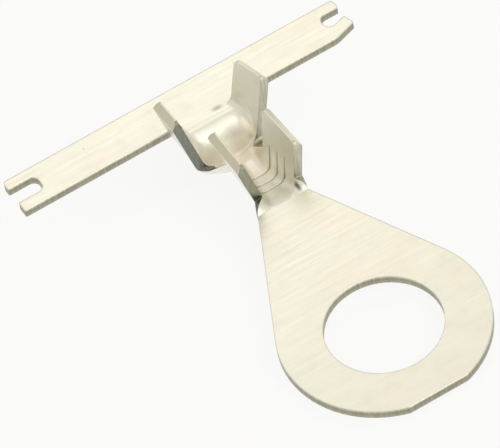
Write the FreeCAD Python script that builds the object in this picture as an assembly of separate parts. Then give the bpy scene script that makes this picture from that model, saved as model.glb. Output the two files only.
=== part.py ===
# Open-barrel ring terminal on its piece of carrier strip, one blanked and folded brass sheet.
# Millimetres. Origin: centre of the stud hole on the underside of the tongue.
# +X runs from the ring along the barrels to the carrier, +Z to the side that the wings open to.
import FreeCAD
import Part
import math
import os

V = FreeCAD.Vector

# Sheet
sheet_t = 0.5

# Ring and tongue
stud_bore = 6.4
ring_od = 11.46
tip_cut = 0.28
neck_x = 10.2
neck_width = 3.12

# Barrels' middle line, which the forming has left slightly off the tongue's axis
wire_front_shift = -0.28
wire_rear_shift = -0.34
ins_front_shift = 0.0
ins_rear_shift = 0.26

# Wire barrel, a trough that deepens towards the carrier
wire_front_x = 11.05
wire_wing_length = 3.15
wire_front_half = 1.34
wire_rear_half = 1.26
wire_lean = 11.0
wire_front_roll = 2.0
wire_rear_roll = 4.0
wire_radius = 0.98
wire_run_on = 0.7
wire_front_drop = 0.37
wire_rear_drop = 1.47
wire_floor_sag = 0.22
wire_left_top = 3.72
wire_right_top = 3.37
wire_tip_radius = 0.5

# Neck, where the strip's sides fold up
root_half = 2.05
neck_floor_t = 0.6
fold_pace = 1.3
floor_pace = 1.5

# Serrations across the inside of the wire barrel
groove_count = 3
groove_first_x = 12.0
groove_pitch = 0.75
groove_width = 0.16
groove_depth = 0.09
groove_leg = 1.6

# Gap between the barrels, whose bottom slopes down from the wire barrel
barrel_gap = 1.7
gap_wire_z = 0.35
gap_ins_z = -1.3
gap_radius = 0.2

# Insulation barrel
ins_wing_length = 1.97
ins_front_half = 2.29
ins_rear_half = 2.06
ins_lean = 12.5
ins_radius = 2.0
ins_drop = 2.05
ins_left_top = 3.55
ins_right_top = 3.42
ins_tip_radius = 0.35

# Wing tips
tip_bevel = 50.0
tip_land = 0.07

# Ramp from the insulation barrel's floor up to the tab
ramp_setback = 0.15
ramp_length = 1.5
ramp_bias = 0.7
tab_corner_radius = 1.0

# Tab and carrier strip
tab_width = 3.3
carrier_gap = 0.2
carrier_width = 2.43
carrier_left_y = 11.25
carrier_right_y = 9.3
notch_width = 1.1
notch_left_depth = 1.65
notch_right_depth = 1.25
notch_front_prong = 0.7
notch_radius = 0.4
prong_turn = 18.0
prong_bend_radius = 1.5
strip_corner_radius = 0.25
prong_corner_radius = 0.08

# Worked out from the above
stud_r = stud_bore / 2.0
ring_r = ring_od / 2.0
neck_half = neck_width / 2.0
wire_rear_x = wire_front_x + wire_wing_length
ins_front_x = wire_rear_x + barrel_gap
ins_rear_x = ins_front_x + ins_wing_length
ramp_front_x = ins_front_x + ramp_setback
ramp_rear_x = ramp_front_x + ramp_length
carrier_front_x = ins_rear_x + carrier_gap
tall_leg = 6.0
below = -4.0
reach = 6.0
lap = 0.02


def blend(a, b, share):
    return a + (b - a) * share


def mirror(p):
    return V(p.x, -p.y, p.z)


def tongue():
    """Ring with its flat tip, and the tapered tongue up to the neck."""
    a = math.atan2(neck_half, neck_x) + math.acos(ring_r / math.hypot(neck_x, neck_half))
    b = math.acos(tip_cut / ring_r - 1.0)
    touch, side, tip = [V(ring_r * math.cos(k), ring_r * math.sin(k), 0) for k in (a, (a + b) / 2, b)]
    neck = V(neck_x, neck_half, 0)
    edges = [
        Part.LineSegment(neck, touch).toShape(),
        Part.Arc(touch, side, tip).toShape(),
        Part.LineSegment(tip, mirror(tip)).toShape(),
        Part.Arc(mirror(tip), mirror(side), mirror(touch)).toShape(),
        Part.LineSegment(mirror(touch), mirror(neck)).toShape(),
        Part.LineSegment(mirror(neck), neck).toShape(),
    ]
    plate = Part.Face(Part.Wire(edges)).extrude(V(0, 0, sheet_t))
    return plate.cut(Part.makeCylinder(stud_r, sheet_t))


def skin(x, mid_y, floor_z, heels, radius, leans, leg):
    """One skin of the folded sheet across the barrels: leg, corner arc, floor, arc, leg."""
    sides = []
    for side, heel, lean in zip((1, -1), heels, leans):
        turn = math.radians(90.0 - lean)
        points = [V(x, mid_y + side * (heel + radius * math.sin(k)), floor_z + radius * (1.0 - math.cos(k)))
                  for k in (0.0, turn / 2.0, turn)]
        points.append(points[2].add(V(0, side * leg * math.cos(turn), leg * math.sin(turn))))
        sides.append(points)
    left, right = sides
    return [
        Part.LineSegment(right[3], right[2]),
        Part.Arc(right[2], right[1], right[0]),
        Part.LineSegment(right[0], left[0]),
        Part.Arc(left[0], left[1], left[2]),
        Part.LineSegment(left[2], left[3]),
    ]


def ring_wire(outer, inner):
    """Closed wire round the sheet's section from its two skins."""
    edges = [c.toShape() for c in outer]
    edges.append(Part.LineSegment(outer[-1].EndPoint, inner[-1].EndPoint).toShape())
    for c in reversed(inner):
        edges.append(c.toShape())
    edges.append(Part.LineSegment(inner[0].StartPoint, outer[0].StartPoint).toShape())
    return Part.Wire(edges)


def fold(x, mid_y, floor_z, heels, radius, leans, leg, floor_t=sheet_t):
    """Section of the folded sheet at x, with the floor's thickness measured upright."""
    extra = floor_t - sheet_t
    inner_heels = [heel + extra * math.tan(math.radians(lean)) for heel, lean in zip(heels, leans)]
    return ring_wire(skin(x, mid_y, floor_z, heels, radius, leans, leg),
                     skin(x, mid_y, floor_z + floor_t, inner_heels, radius - sheet_t, leans, leg - extra))


def seats(half, floor_z, radius, leans):
    """Floor's half widths, left and right, for legs whose outer lines lie at half at z = 0."""
    tilts = [math.radians(lean) for lean in leans]
    return [half + (floor_z + radius) * math.tan(tilt) - radius / math.cos(tilt) for tilt in tilts]


def wire_station(x):
    """Middle, floor, floor half widths, corner radius and leans of the wire barrel at x."""
    s = (x - wire_front_x) / wire_wing_length
    floor_z = -blend(wire_front_drop, wire_rear_drop, s) - 4.0 * wire_floor_sag * s * (1.0 - s)
    roll = blend(wire_front_roll, wire_rear_roll, s)
    leans = (wire_lean + roll, wire_lean - roll)
    half = blend(wire_front_half, wire_rear_half, s)
    mid_y = blend(wire_front_shift, wire_rear_shift, s)
    return mid_y, floor_z, seats(half, floor_z, wire_radius, leans), wire_radius, leans


def ins_section(x, rise, floor_t=sheet_t):
    """Section of the insulation barrel at x, with its floor raised by a share of the ramp."""
    s = (x - ins_front_x) / ins_wing_length
    floor_z = -ins_drop * (1.0 - rise)
    radius = blend(ins_radius, tab_corner_radius, rise)
    leans = (ins_lean, ins_lean)
    half = blend(ins_front_half, ins_rear_half, s)
    return fold(x, blend(ins_front_shift, ins_rear_shift, s), floor_z, seats(half, floor_z, radius, leans),
                radius, leans, tall_leg, floor_t)


def flat_section(x, heels):
    """Flat section of the strip at x, split where its folds begin."""
    start = [fold_pace * heel for heel in heels]
    marks = [-neck_half, -start[1], -heels[1], heels[0], start[0], neck_half]
    skins = []
    for z in (0.0, sheet_t):
        skins.append([Part.LineSegment(V(x, a, z), V(x, b, z)) for a, b in zip(marks, marks[1:])])
    return ring_wire(*skins)


def neck():
    """Strip that drops from the flat tongue into the wire barrel while its sides fold up."""
    mid_y, floor_z, heels, radius, leans = wire_station(wire_front_x)
    sections = [flat_section(neck_x, heels)]
    steps = 5
    for i in range(1, steps + 1):
        s = i / steps
        folded = [90.0 - s ** fold_pace * (90.0 - lean) for lean in leans]
        bend = radius * math.radians(90.0 - sum(folded) / 2.0)
        leg = blend(neck_half, root_half, s * s) - sum(heels) / 2.0 - bend
        sections.append(fold(blend(neck_x, wire_front_x, s), s * mid_y, floor_z * s ** floor_pace, heels,
                             radius, folded, leg, blend(sheet_t, neck_floor_t, s * s)))
    return Part.makeLoft(sections, True, False)


def channel():
    """Trough from the wire barrel to the tab, with legs taller than the wings."""
    steps = 5
    wire = []
    for i in range(steps + 1):
        x = blend(wire_front_x, wire_rear_x + wire_run_on, i / steps)
        wire.append(fold(x, *wire_station(x), tall_leg, blend(neck_floor_t, sheet_t, i / steps)))
    ramp = []
    steps = 4
    for i in range(steps + 1):
        s = i / steps
        rise = 3.0 * s ** (2.0 * ramp_bias) - 2.0 * s ** (3.0 * ramp_bias)
        slope = 6.0 * ramp_bias * (s ** (2.0 * ramp_bias - 1.0) - s ** (3.0 * ramp_bias - 1.0))
        slant = math.hypot(1.0, slope * ins_drop / ramp_length)
        ramp.append(ins_section(blend(ramp_front_x, ramp_rear_x, s), rise, sheet_t * slant))
    front = ins_section(ins_front_x, 0.0)
    rear = ins_section(ins_rear_x, 1.0)
    return Part.makeLoft(wire, True, False).multiFuse([
        Part.makeLoft([wire[-1], front], True, True), Part.makeLoft([front, ramp[0]], True, True),
        Part.makeLoft(ramp, True, False), Part.makeLoft([ramp[-1], rear], True, True)])


def rounded(points):
    """Closed wire round a row of (corner, radius) pairs."""
    edges = []
    starts = []
    ends = []
    for i, (corner, radius) in enumerate(points):
        before = points[i - 1][0].sub(corner).normalize()
        after = points[(i + 1) % len(points)][0].sub(corner).normalize()
        half_turn = before.getAngle(after) / 2.0
        back = radius / math.tan(half_turn)
        starts.append(corner.add(V(before).multiply(back)))
        ends.append(corner.add(V(after).multiply(back)))
        if radius > 0:
            inward = before.add(after).normalize()
            middle = corner.add(inward.multiply(radius / math.sin(half_turn) - radius))
            edges.append(Part.Arc(starts[i], middle, ends[i]).toShape())
        if i > 0:
            edges.append(Part.LineSegment(ends[i - 1], starts[i]).toShape())
    edges.append(Part.LineSegment(ends[-1], starts[0]).toShape())
    return Part.Wire(Part.__sortEdges__(edges))


def wing_outline(side, wire_top, ins_top):
    """Side outline of one side's wings with the gap between them, as a block from the middle out."""
    outline = Part.Face(rounded([
        (V(wire_front_x, 0, below), 0), (V(wire_front_x, 0, wire_top), wire_tip_radius),
        (V(wire_rear_x, 0, wire_top), ins_tip_radius), (V(wire_rear_x, 0, gap_wire_z), gap_radius),
        (V(ins_front_x, 0, gap_ins_z), gap_radius), (V(ins_front_x, 0, ins_top), ins_tip_radius),
        (V(ins_rear_x, 0, ins_top), ins_tip_radius), (V(ins_rear_x, 0, below), 0)]))
    return outline.extrude(V(0, side * reach, 0))


def bevel(side, top, ends):
    """Block that slopes a wing's tip down and outwards from its inner edge."""
    fall = reach * math.tan(math.radians(tip_bevel))
    wires = []
    for x, mid_y, half, lean in ends:
        tilt = math.radians(lean)
        y = mid_y + side * (half + top * math.tan(tilt) - sheet_t / math.cos(tilt) + tip_land)
        points = [V(x, y, top), V(x, y + side * reach, top - fall),
                  V(x, y + side * reach, top + reach), V(x, y, top + reach)]
        wires.append(Part.makePolygon(points + points[:1]))
    return Part.makeLoft(wires, True, True)


def barrels():
    """Trough cut to its four wings, with sloped tips and the serrations."""
    sides = ((1, wire_left_top, ins_left_top), (-1, wire_right_top, ins_right_top))
    left, right = [wing_outline(*side) for side in sides]
    body = channel().common(left.fuse(right).removeSplitter())
    for side, wire_top, ins_top in sides:
        wire_ends = ((wire_front_x, wire_front_shift, wire_front_half, wire_lean + side * wire_front_roll),
                     (wire_rear_x, wire_rear_shift, wire_rear_half, wire_lean + side * wire_rear_roll))
        ins_ends = ((ins_front_x, ins_front_shift, ins_front_half, ins_lean),
                    (ins_rear_x, ins_rear_shift, ins_rear_half, ins_lean))
        body = body.cut(bevel(side, wire_top, wire_ends)).cut(bevel(side, ins_top, ins_ends))
    for i in range(groove_count):
        x = groove_first_x + i * groove_pitch
        mid_y, floor_z, heels, radius, leans = wire_station(x)
        curves = skin(x - groove_width / 2.0, mid_y, floor_z + sheet_t - groove_depth, heels,
                      radius - sheet_t + groove_depth, leans, groove_leg)
        edges = [c.toShape() for c in curves]
        edges.append(Part.LineSegment(curves[-1].EndPoint, curves[0].StartPoint).toShape())
        body = body.cut(Part.Face(Part.Wire(edges)).extrude(V(groove_width, 0, 0)))
    return body


def carrier():
    """Tab and carrier strip with its two open-ended slots, one front prong bent towards the back."""
    front_x = carrier_front_x
    back_x = front_x + carrier_width
    slot_front_x = front_x + notch_front_prong
    slot_back_x = slot_front_x + notch_width
    left_end_y = carrier_left_y - notch_left_depth
    right_end_y = notch_right_depth - carrier_right_y
    turn = math.radians(prong_turn)
    along = V(math.sin(turn), -math.cos(turn), 0)
    across = V(-math.cos(turn), -math.sin(turn), 0)
    bent_inner = V(slot_front_x, right_end_y, 0).add(V(along).multiply(notch_right_depth))
    bent_outer = bent_inner.add(across.multiply(notch_front_prong))
    knee_y = bent_outer.y + (bent_outer.x - front_x) / math.tan(turn)
    outline = rounded([
        (V(front_x, carrier_left_y, 0), prong_corner_radius),
        (V(slot_front_x, carrier_left_y, 0), prong_corner_radius),
        (V(slot_front_x, left_end_y, 0), notch_radius),
        (V(slot_back_x, left_end_y, 0), notch_radius),
        (V(slot_back_x, carrier_left_y, 0), prong_corner_radius),
        (V(back_x, carrier_left_y, 0), strip_corner_radius),
        (V(back_x, -carrier_right_y, 0), strip_corner_radius),
        (V(slot_back_x, -carrier_right_y, 0), prong_corner_radius),
        (V(slot_back_x, right_end_y, 0), notch_radius),
        (V(slot_front_x, right_end_y, 0), notch_radius),
        (bent_inner, prong_corner_radius),
        (bent_outer, prong_corner_radius),
        (V(front_x, knee_y, 0), prong_bend_radius)])
    strip = Part.Face(outline).extrude(V(0, 0, sheet_t))
    tab = Part.makeBox(carrier_front_x - ins_rear_x + 2.0 * lap, tab_width, sheet_t,
                       V(ins_rear_x - lap, -tab_width / 2.0, 0))
    return strip.fuse(tab)


def ring_terminal():
    return tongue().multiFuse([neck(), barrels(), carrier()]).removeSplitter().Solids[0]


if __name__ == "__main__":
    os.makedirs("parts", exist_ok=True)
    shape = ring_terminal()
    print(shape.ShapeType, len(shape.Solids), shape.isValid(), round(shape.Volume, 3), shape.BoundBox)
    shape.exportStep("parts/ring_terminal.step")
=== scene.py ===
import bpy
import math
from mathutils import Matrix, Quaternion, Vector


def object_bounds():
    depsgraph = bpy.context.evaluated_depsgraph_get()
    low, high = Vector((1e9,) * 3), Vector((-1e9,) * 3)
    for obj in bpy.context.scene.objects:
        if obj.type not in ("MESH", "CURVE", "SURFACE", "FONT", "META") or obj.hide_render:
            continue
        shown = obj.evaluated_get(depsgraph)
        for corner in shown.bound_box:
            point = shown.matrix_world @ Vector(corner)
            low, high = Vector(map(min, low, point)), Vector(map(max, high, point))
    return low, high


# Tin-plated brass ring terminal on its piece of carrier strip. Metres, in the part's own frame.
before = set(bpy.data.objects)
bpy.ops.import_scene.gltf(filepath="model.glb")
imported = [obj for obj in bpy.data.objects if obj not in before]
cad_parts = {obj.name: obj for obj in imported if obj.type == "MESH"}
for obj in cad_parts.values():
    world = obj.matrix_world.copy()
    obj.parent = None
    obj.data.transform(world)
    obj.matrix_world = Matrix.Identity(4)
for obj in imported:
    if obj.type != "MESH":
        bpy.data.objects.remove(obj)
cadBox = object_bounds()
mm = 0.001


def fromHex(text):
    # sRGB hex to linear
    channels = []
    for start in (1, 3, 5):
        value = int(text[start:start + 2], 16) / 255.0
        channels.append(value / 12.92 if value <= 0.04045 else ((value + 0.055) / 1.055) ** 2.4)
    return (*channels, 1.0)


def addNode(tree, kind, settings=None, values=None, links=None):
    # One node with its properties, the values of its sockets and what its sockets are linked to. A socket
    # is named, or numbered where a node has several of one name: a colour mix has its share at 0, its two
    # colours at 6 and 7 and its result at 2, and a number mix has its two values at 2 and 3.
    node = tree.nodes.new(kind)
    for name, value in (settings or {}).items():
        setattr(node, name, value)
    for socket, value in (values or {}).items():
        node.inputs[socket].default_value = value
    for socket, source in (links or {}).items():
        tree.links.new(source, node.inputs[socket])
    return node


def newMaterial(name):
    material = bpy.data.materials.new(name)
    material.use_nodes = True
    material.node_tree.nodes.clear()
    return material, material.node_tree


# Camera, at the place and lens that the fitted photograph gives: millimetres and degrees, clipping in metres
cameraView = {"target": (6.83, 3.42, 4.69), "toward": (-0.59155, 0.23620, 0.77090), "distance": 610.27,
              "roll": -12.10, "lens": 845.0, "sensor": 36.0, "clipStart": 0.01, "clipEnd": 20.0}
cameraData = bpy.data.cameras.new("productCamera")
cameraData.lens = cameraView["lens"]
cameraData.sensor_width = cameraView["sensor"]
cameraData.clip_start = cameraView["clipStart"]
cameraData.clip_end = cameraView["clipEnd"]
camera = bpy.data.objects.new("productCamera", cameraData)
bpy.context.scene.collection.objects.link(camera)
toward = Vector(cameraView["toward"]).normalized()
roll = Quaternion(toward, math.radians(cameraView["roll"]))
camera.location = (Vector(cameraView["target"]) + toward * cameraView["distance"]) * mm
camera.rotation_mode = "QUATERNION"
camera.rotation_quaternion = roll @ toward.to_track_quat("Z", "Y")
bpy.context.scene.camera = camera
bpy.context.scene.view_settings.view_transform = "Standard"
print("camera placed")

# Studio: a light tent, bright overhead and greyer round the sides. The flat faces mirror the back softbox,
# and the ramp up to the carrier mirrors the front and top ones. Heights are on a unit sphere, the aim is in
# millimetres, and the softboxes are in metres and watts.
studio = {"overhead": "#e2dfd3", "sides": "#abb1ac", "lamps": "#fffbee", "sidesUpTo": -0.1,
          "overheadFrom": 0.40, "aim": (19.0, 0.0, 0.0)}
softboxes = [
    {"name": "backSoftbox", "toward": (0.60, -0.23, 0.77), "distance": 0.10,
     "size": (0.044, 0.044), "power": 0.0033},
    {"name": "frontSoftbox", "toward": (-0.84, -0.28, 0.42), "distance": 0.20,
     "size": (0.12, 0.22), "power": 0.105},
    {"name": "topSoftbox", "toward": (-0.22, -0.28, 0.93), "distance": 0.20,
     "size": (0.08, 0.11), "power": 0.011},
]
world = bpy.data.worlds.new("lightTent")
bpy.context.scene.world = world
world.use_nodes = True
tentTree = world.node_tree
direction = addNode(tentTree, "ShaderNodeTexCoord")
height = addNode(tentTree, "ShaderNodeSeparateXYZ", links={0: direction.outputs["Generated"]})
climb = addNode(tentTree, "ShaderNodeMapRange", {"interpolation_type": "SMOOTHSTEP"},
                {"From Min": studio["sidesUpTo"], "From Max": studio["overheadFrom"]},
                {"Value": height.outputs["Z"]})
tent = addNode(tentTree, "ShaderNodeMix", {"data_type": "RGBA"},
               {6: fromHex(studio["sides"]), 7: fromHex(studio["overhead"])}, {0: climb.outputs["Result"]})
tentTree.links.new(tent.outputs[2], tentTree.nodes["Background"].inputs["Color"])
for softbox in softboxes:
    lampData = bpy.data.lights.new(softbox["name"], "AREA")
    lampData.shape = "RECTANGLE"
    lampData.size, lampData.size_y = softbox["size"]
    lampData.energy = softbox["power"]
    lampData.color = fromHex(studio["lamps"])[:3]
    lamp = bpy.data.objects.new(softbox["name"], lampData)
    bpy.context.scene.collection.objects.link(lamp)
    lampWay = Vector(softbox["toward"]).normalized()
    lamp.location = Vector(studio["aim"]) * mm + lampWay * softbox["distance"]
    lamp.rotation_euler = lampWay.to_track_quat("Z", "Y").to_euler()

# The floor lies at the slope at which the part rests, on the insulation barrel and the ring's tip.
# The camera and the metal see it as white paper, and the shadow on it stays. Its side is in metres.
paper = {"colour": "#f9f9f8", "roughness": 0.9, "glow": 0.82, "side": 0.9}
lowest = Vector((16.4, 0.0, -2.06)) * mm  # a hair under the insulation barrel
ringTip = Vector((cadBox[0][0], 0.0, 0.0))
restSlope = math.atan2(ringTip.z - lowest.z, lowest.x - ringTip.x)
half = paper["side"] / 2.0
corners = [(-half, -half, 0.0), (half, -half, 0.0), (half, half, 0.0), (-half, half, 0.0)]
floorMesh = bpy.data.meshes.new("paleFloor")
floorMesh.from_pydata(corners, [], [(0, 1, 2, 3)])
floor = bpy.data.objects.new("paleFloor", floorMesh)
bpy.context.scene.collection.objects.link(floor)
floor.rotation_euler = (0.0, restSlope, 0.0)
floor.location = lowest
floorPaint, paperTree = newMaterial("mattePaper")
paperShader = addNode(paperTree, "ShaderNodeBsdfPrincipled",
                      values={"Base Color": fromHex(paper["colour"]), "Roughness": paper["roughness"]})
glow = addNode(paperTree, "ShaderNodeEmission", values={"Color": (1.0, 1.0, 1.0, 1.0), "Strength": 1.0})
rays = addNode(paperTree, "ShaderNodeLightPath")
seenRays = rays.outputs["Is Camera Ray"]
for kind in ("Is Glossy Ray", "Is Transmission Ray"):
    eitherRay = addNode(paperTree, "ShaderNodeMath", {"operation": "ADD", "use_clamp": True},
                        links={0: seenRays, 1: rays.outputs[kind]})
    seenRays = eitherRay.outputs[0]
glowShare = addNode(paperTree, "ShaderNodeMath", {"operation": "MULTIPLY"},
                    {1: paper["glow"]}, {0: seenRays})
floorMix = addNode(paperTree, "ShaderNodeMixShader",
                   links={"Fac": glowShare.outputs[0], 1: paperShader.outputs["BSDF"],
                          2: glow.outputs["Emission"]})
addNode(paperTree, "ShaderNodeOutputMaterial", links={"Surface": floorMix.outputs["Shader"]})
floorMesh.materials.append(floorPaint)
print("studio lit")

# The folded sheet, in millimetres: its thickness, the end planes along x of the neck and of both barrels,
# how high the wing tips' bevels start, and how far from y = 0 the gap between the barrels has upright edges
sheet = {"thickness": 0.5, "neck": 10.2, "wireFront": 11.05, "wireRear": 14.2, "insulationFront": 15.9,
         "insulationRear": 17.87, "tips": 2.3, "gapEdges": (1.15, 3.0)}
slack = 0.1  # millimetres to either side of an end plane
front = cadBox[0][0] / mm - slack
back = cadBox[1][0] / mm + slack
top = cadBox[1][2] / mm + slack
full = 1.01  # a hair over the most that a normal's part can be

# Where the die cut the sheet, as reaches in millimetres of x, side (the distance from y = 0) and z, and
# reaches of the true normal's parts: along the terminal's axis, outwards from it and up
cutZones = [
    {"x": (front, sheet["neck"]), "up": (-0.3, 0.3)},
    {"x": (sheet["insulationRear"], back), "up": (-0.3, 0.3)},
    {"z": (sheet["tips"], top), "outward": (-0.06, 0.06), "up": (-full, 0.9)},
    {"x": (sheet["wireRear"] - slack, sheet["insulationFront"] + slack), "side": sheet["gapEdges"],
     "outward": (-0.02, 0.02)},
    {"x": (sheet["neck"], sheet["wireFront"]), "outward": (0.05, full), "up": (-0.02, full)},
]
for end in ("wireFront", "wireRear", "insulationFront", "insulationRear"):
    cutZones.append({"x": (sheet[end] - slack, sheet[end] + slack), "along": (0.99, full)})
wingZone = {"x": (sheet["neck"], sheet["insulationRear"] + slack)}
tipHighlightZone = {"z": (sheet["tips"], top), "up": (0.4, 0.9), "outward": (0.1, full)}  # the wing tips' bevels, painted pale as a painted highlight where they face up to the light

# Brass strip, cold rolled and tin plated before blanking. Matte tin is a soft, faintly warm white metal with
# a satin sheen and fine rolling lines along the strip. Sizes are in millimetres. The rolling lines, the grain
# and the cut faces' drag lines are drawn coarser than the real ones, so that they show. A fade is the reach
# of the noise over which one look gives way to the next.
tin = {"face": "#f5f5ed", "warm": "#f8f3ea", "warmPatch": 2.6, "warmDetail": 3.0, "warmFade": (0.42, 0.62),
       "dull": "#efeee5", "dullPatch": 0.9, "dullDetail": 5.0, "dullFade": (0.50, 0.85),
       "roughness": 0.36, "roughnessSwing": 0.05, "rollingLine": 0.12, "rollingLength": 3.0,
       "rollingDepth": 0.0008, "grain": 0.09, "grainDepth": 0.0012, "fineDetail": 2.0, "lineFade": (0.3, 0.7),
       "edgeRound": 0.09, "edgeSamples": 8}

# The die cuts through the plating, so the cut faces are bare grey-yellow brass. On the flat they show, from
# the top down, a bright rolled edge, a smooth sheared band, a warmer broken one and a light burr, with drag
# lines across. On the wings they carry painted shade: darker towards the foot, and darker on the left side
# than on the right. The tips' bevels are painted pale, a painted highlight where they face up to the light.
brassCut = {"rolledEdge": "#d8d6c3", "sheared": "#9a9b8b", "broken": "#a9a591", "burr": "#bab39d",
            "leftFootInShade": "#83867d", "leftTopInShade": "#94968b", "rightFootInShade": "#b6b4a3", "rightTopLit": "#cbc8b6",
            "wingShadeReach": (-1.0, 3.6), "tip": "#e9e3cd", "dragLine": 0.10, "dragLength": 1.2,
            "dragShade": (0.78, 1.12), "roughness": 0.42}

# Painted shade in the fold hollows at the neck and at the tab's bend to the carrier, and one small darker
# spot on the carrier: centre and half sizes in millimetres
paintedShadeAndSpot = [
    {"centre": (10.62, -1.17, 0.55), "reach": (0.46, 0.17, 0.5), "colour": "#4c4f4d", "strength": 0.85},
    {"centre": (17.88, -0.55, 0.45), "reach": (0.22, 0.50, 0.3), "colour": "#b3a584", "strength": 0.7},
    {"centre": (19.84, 6.59, 0.50), "reach": (0.06, 0.05, 0.1), "colour": "#8d8670", "strength": 0.8},
]
darkPatchFade = (1.0, 0.2)  # from a patch's rim to its full strength, in shares of its half size

plate, plateTree = newMaterial("matteTinPlatedBrass")
coords = addNode(plateTree, "ShaderNodeTexCoord")
place = addNode(plateTree, "ShaderNodeVectorMath", {"operation": "SCALE"}, {"Scale": 1.0 / mm},
                {0: coords.outputs["Object"]})
axes = addNode(plateTree, "ShaderNodeSeparateXYZ", links={0: place.outputs[0]})
geometry = addNode(plateTree, "ShaderNodeNewGeometry")
facing = addNode(plateTree, "ShaderNodeSeparateXYZ", links={0: geometry.outputs["True Normal"]})
side = addNode(plateTree, "ShaderNodeMath", {"operation": "ABSOLUTE"}, links={0: axes.outputs["Y"]})
sideSign = addNode(plateTree, "ShaderNodeMath", {"operation": "SIGN"}, links={0: axes.outputs["Y"]})
outward = addNode(plateTree, "ShaderNodeMath", {"operation": "MULTIPLY"},
                  links={0: facing.outputs["Y"], 1: sideSign.outputs[0]})
along = addNode(plateTree, "ShaderNodeMath", {"operation": "ABSOLUTE"}, links={0: facing.outputs["X"]})
measures = {"x": axes.outputs["X"], "side": side.outputs[0], "z": axes.outputs["Z"],
            "along": along.outputs[0], "outward": outward.outputs[0], "up": facing.outputs["Z"]}


def zoneMask(zone):
    # 1 where every measure lies within the zone's reaches
    mask = None
    for name, (low, high) in zone.items():
        inside = addNode(plateTree, "ShaderNodeMath", {"operation": "COMPARE"},
                         {1: (low + high) / 2.0, 2: (high - low) / 2.0}, {0: measures[name]})
        if mask is None:
            mask = inside
        else:
            mask = addNode(plateTree, "ShaderNodeMath", {"operation": "MULTIPLY"},
                           links={0: mask.outputs[0], 1: inside.outputs[0]})
    return mask


def cutBands(low, high, *colours):
    # evenly spaced colours from one height to another, in millimetres
    share = addNode(plateTree, "ShaderNodeMapRange", values={"From Min": low, "From Max": high},
                    links={"Value": axes.outputs["Z"]})
    bands = addNode(plateTree, "ShaderNodeValToRGB", links={"Fac": share.outputs["Result"]})
    stops = bands.color_ramp.elements
    while len(stops) < len(colours):
        stops.new(0.5)  # its place is set below
    for i, colour in enumerate(colours):
        stops[i].position = i / (len(colours) - 1)
        stops[i].color = fromHex(colour)
    return bands


def mottle(size, detail, stretch=(1.0, 1.0, 1.0)):
    # noise whose blots measure about size millimetres, longer along an axis by its stretch
    shrink = addNode(plateTree, "ShaderNodeVectorMath", {"operation": "MULTIPLY"},
                     {1: [1.0 / (size * s) for s in stretch]}, {0: place.outputs[0]})
    return addNode(plateTree, "ShaderNodeTexNoise", values={"Scale": 1.0, "Detail": detail},
                   links={"Vector": shrink.outputs[0]})


cutMask = zoneMask(cutZones[0])
for zone in cutZones[1:]:
    cutMask = addNode(plateTree, "ShaderNodeMath", {"operation": "MAXIMUM"},
                      links={0: cutMask.outputs[0], 1: zoneMask(zone).outputs[0]})

# Tinned faces: warm and cool clouds, duller patches, the painted highlight on the tips' bevels, and the
# painted shade in the fold hollows with one small darker spot
warmClouds = mottle(tin["warmPatch"], tin["warmDetail"])
warmShare = addNode(plateTree, "ShaderNodeMapRange",
                    values={"From Min": tin["warmFade"][0], "From Max": tin["warmFade"][1]},
                    links={"Value": warmClouds.outputs["Fac"]})
faceColour = addNode(plateTree, "ShaderNodeMix", {"data_type": "RGBA"},
                     {6: fromHex(tin["face"]), 7: fromHex(tin["warm"])}, {0: warmShare.outputs["Result"]})
dullPatches = mottle(tin["dullPatch"], tin["dullDetail"])
dullShare = addNode(plateTree, "ShaderNodeMapRange",
                    values={"From Min": tin["dullFade"][0], "From Max": tin["dullFade"][1]},
                    links={"Value": dullPatches.outputs["Fac"]})
faceColour = addNode(plateTree, "ShaderNodeMix", {"data_type": "RGBA"}, {7: fromHex(tin["dull"])},
                     {0: dullShare.outputs["Result"], 6: faceColour.outputs[2]})
# painted highlight: the tips' bevels are painted paler where they face up to the light
tipHighlightMask = zoneMask(tipHighlightZone)
faceColour = addNode(plateTree, "ShaderNodeMix", {"data_type": "RGBA"}, {7: fromHex(brassCut["tip"])},
                     {0: tipHighlightMask.outputs[0], 6: faceColour.outputs[2]})
# painted shade darkens the fold hollows; the last patch is a small darker spot on the carrier
for darkPatch in paintedShadeAndSpot:
    offset = addNode(plateTree, "ShaderNodeVectorMath", {"operation": "SUBTRACT"}, {1: darkPatch["centre"]},
                     {0: place.outputs[0]})
    offset = addNode(plateTree, "ShaderNodeVectorMath", {"operation": "DIVIDE"}, {1: darkPatch["reach"]},
                     {0: offset.outputs[0]})
    distance = addNode(plateTree, "ShaderNodeVectorMath", {"operation": "LENGTH"},
                       links={0: offset.outputs[0]})
    cover = addNode(plateTree, "ShaderNodeMapRange", {"interpolation_type": "SMOOTHSTEP"},
                    {"From Min": darkPatchFade[0], "From Max": darkPatchFade[1], "To Max": darkPatch["strength"]},
                    {"Value": distance.outputs["Value"]})
    faceColour = addNode(plateTree, "ShaderNodeMix", {"data_type": "RGBA"}, {7: fromHex(darkPatch["colour"])},
                         {0: cover.outputs["Result"], 6: faceColour.outputs[2]})

# Cut faces: bands through the plate's thickness on the flat; on the wings, painted shade, darker towards the
# foot and on the left side than on the right
plateCut = cutBands(0.0, sheet["thickness"], brassCut["burr"], brassCut["broken"], brassCut["sheared"],
                    brassCut["rolledEdge"])
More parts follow.
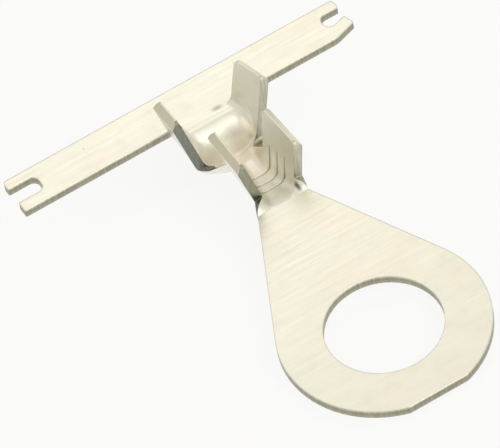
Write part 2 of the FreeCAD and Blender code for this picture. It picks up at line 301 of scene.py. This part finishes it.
# painted shade: the wing cut faces darken towards the foot, and the left ones are a shaded copy of the right
leftCutShading = cutBands(*brassCut["wingShadeReach"], brassCut["leftFootInShade"], brassCut["leftTopInShade"])
rightCutShading = cutBands(*brassCut["wingShadeReach"], brassCut["rightFootInShade"], brassCut["rightTopLit"])
onShadedLeft = addNode(plateTree, "ShaderNodeMath", {"operation": "GREATER_THAN"},
                 {1: 0.0}, {0: axes.outputs["Y"]})
wingCutShading = addNode(plateTree, "ShaderNodeMix", {"data_type": "RGBA"},
                  links={0: onShadedLeft.outputs[0], 6: rightCutShading.outputs["Color"], 7: leftCutShading.outputs["Color"]})
onWings = zoneMask(wingZone)
cutColour = addNode(plateTree, "ShaderNodeMix", {"data_type": "RGBA"},
                    links={0: onWings.outputs[0], 6: plateCut.outputs["Color"], 7: wingCutShading.outputs[2]})
dragLines = mottle(brassCut["dragLine"], tin["fineDetail"],
                   (1.0, 1.0, brassCut["dragLength"] / brassCut["dragLine"]))
dragShade = addNode(plateTree, "ShaderNodeMapRange",
                    values={"From Min": tin["lineFade"][0], "From Max": tin["lineFade"][1],
                            "To Min": brassCut["dragShade"][0], "To Max": brassCut["dragShade"][1]},
                    links={"Value": dragLines.outputs["Fac"]})
cutColour = addNode(plateTree, "ShaderNodeVectorMath", {"operation": "SCALE"},
                    links={0: cutColour.outputs[2], "Scale": dragShade.outputs["Result"]})
colour = addNode(plateTree, "ShaderNodeMix", {"data_type": "RGBA"},
                 links={0: cutMask.outputs[0], 6: faceColour.outputs[2], 7: cutColour.outputs[0]})

# Sheen: rolling lines along the strip, which runs along y, a fine crystalline grain and softly rounded edges
rollingLines = mottle(tin["rollingLine"], tin["fineDetail"],
                      (1.0, tin["rollingLength"] / tin["rollingLine"], 1.0))
grain = mottle(tin["grain"], tin["fineDetail"])
faceRoughness = addNode(plateTree, "ShaderNodeMapRange",
                        values={"From Min": tin["lineFade"][0], "From Max": tin["lineFade"][1],
                                "To Min": tin["roughness"] - tin["roughnessSwing"],
                                "To Max": tin["roughness"] + tin["roughnessSwing"]},
                        links={"Value": rollingLines.outputs["Fac"]})
roughness = addNode(plateTree, "ShaderNodeMix", {"data_type": "FLOAT"}, {3: brassCut["roughness"]},
                    {0: cutMask.outputs[0], 2: faceRoughness.outputs["Result"]})
rounded = addNode(plateTree, "ShaderNodeBevel", {"samples": tin["edgeSamples"]},
                  {"Radius": tin["edgeRound"] * mm})
rolled = addNode(plateTree, "ShaderNodeBump", values={"Strength": 1.0, "Distance": tin["rollingDepth"] * mm},
                 links={"Height": rollingLines.outputs["Fac"], "Normal": rounded.outputs["Normal"]})
grained = addNode(plateTree, "ShaderNodeBump", values={"Strength": 1.0, "Distance": tin["grainDepth"] * mm},
                  links={"Height": grain.outputs["Fac"], "Normal": rolled.outputs["Normal"]})
shader = addNode(plateTree, "ShaderNodeBsdfPrincipled", values={"Metallic": 1.0},
                 links={"Base Color": colour.outputs[2], "Roughness": roughness.outputs[0],
                        "Normal": grained.outputs["Normal"]})
addNode(plateTree, "ShaderNodeOutputMaterial", links={"Surface": shader.outputs["BSDF"]})
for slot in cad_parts["ring_terminal"].material_slots:
    slot.material = plate
print("terminal plated")
